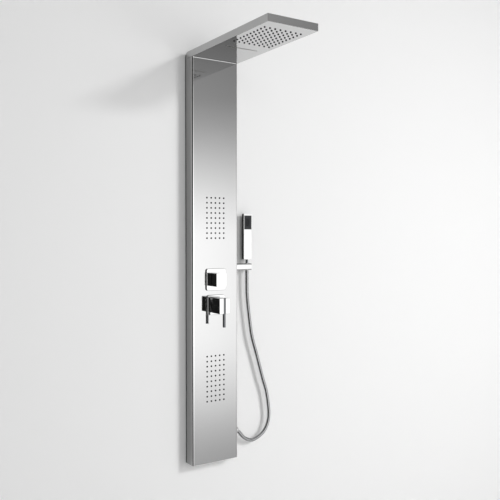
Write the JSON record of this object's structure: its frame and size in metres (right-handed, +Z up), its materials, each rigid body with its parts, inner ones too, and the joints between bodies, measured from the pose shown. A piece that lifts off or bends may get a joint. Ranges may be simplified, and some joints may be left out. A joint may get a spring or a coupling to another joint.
{
  "type": "shower column",
  "caption": "Wall-hung steel shower column with a rain and waterfall head, two fields of body jets, a diverter, a lever mixer and a hand shower on a metal hose.",
  "frame": {"origin": "middle of the back face of the upper wall bracket, on the wall plane, 1300 mm above the panel's lower end", "axes": "+Z up, +Y into the wall, +X to the right as seen from the front; the panel's front faces -Y"},
  "size_m": [0.3742, 0.555, 1.5653],
  "materials": {
    "polished_steel": "mirror-polished stainless steel sheet",
    "chrome": "bright chrome plate on brass or zinc",
    "hose_steel": "chromed double-lock wound hose",
    "brass": "as-machined brass",
    "zinc_steel": "zinc-plated steel",
    "white_plastic": "moulded white plastic",
    "silicone": "black moulded silicone",
    "seal_rubber": "black rubber"
  },
  "bodies": {
    "panel": {"column_shell": "polished_steel", "bottom_cap": "polished_steel", "head_shell": "polished_steel", "head_nozzle_plate": "polished_steel", "rain_nozzle_mat": "silicone", "rain_chamber": "white_plastic", "waterfall_chamber": "white_plastic", "upper_jet_mat": "silicone", "upper_jet_chamber": "white_plastic", "lower_jet_mat": "silicone", "lower_jet_chamber": "white_plastic", "diverter_body": "brass", "diverter_cartridge": "white_plastic", "diverter_plate": "chrome", "diverter_plate_seal": "seal_rubber", "diverter_collar": "chrome", "mixer_body": "brass", "mixer_cartridge": "white_plastic", "cartridge_nut": "brass", "mixer_plate": "chrome", "mixer_plate_seal": "seal_rubber", "mixer_to_diverter_pipe": "brass", "rain_feed_hose": "seal_rubber", "waterfall_feed_hose": "seal_rubber", "upper_jet_feed_hose": "seal_rubber", "lower_jet_feed_hose": "seal_rubber", "hand_feed_hose": "seal_rubber", "hot_tail": "seal_rubber", "hot_nut": "brass", "hot_check_valve": "white_plastic", "cold_tail": "seal_rubber", "cold_nut": "brass", "cold_check_valve": "white_plastic", "hose_outlet": "chrome", "hose_lower_nut": "chrome", "hose_lower_washer": "seal_rubber", "shower_hose": "hose_steel", "handset_holder": "chrome", "holder_screw_1": "zinc_steel", "holder_screw_2": "zinc_steel", "upper_wall_bracket": "zinc_steel", "hanger_bar": "polished_steel", "lower_wall_bracket": "zinc_steel", "locking_screw_1": "zinc_steel", "locking_screw_2": "zinc_steel"},
    "diverter_knob": {"diverter_knob": "chrome", "diverter_stem": "brass", "diverter_grub_screw": "zinc_steel"},
    "mixer_spindle": {"mixer_spindle": "brass"},
    "mixer_handle": {"mixer_handle": "chrome", "handle_hinge_pin": "zinc_steel", "hinge_pin_plug": "zinc_steel", "mixer_lever": "chrome", "lever_screw": "zinc_steel"},
    "handset": {"handset_body": "chrome", "handset_spray_plate": "silicone", "handset_neck": "chrome", "hose_cone_nut": "chrome", "hose_upper_washer": "seal_rubber"}
  },
  "joints": [
    {"name": "diverter_turn", "type": "hinge", "parent": "panel", "child": "diverter_knob", "pos_m": [0, -0.055, -0.596], "axis": [0, -1, 0], "range_deg": [-90, 90]},
    {"name": "mixer_turn", "type": "hinge", "parent": "panel", "child": "mixer_spindle", "pos_m": [0, -0.055, -0.693], "axis": [0, -1, 0], "range_deg": [-50, 50]},
    {"name": "mixer_lift", "type": "hinge", "parent": "mixer_spindle", "child": "mixer_handle", "pos_m": [0, -0.081, -0.693], "axis": [-1, 0, 0], "range_deg": [0, 14]},
    {"name": "handset_lift", "type": "slide", "parent": "panel", "child": "handset", "axis": [0, 0, 1], "range_m": [0, 0.07]}
  ]
}
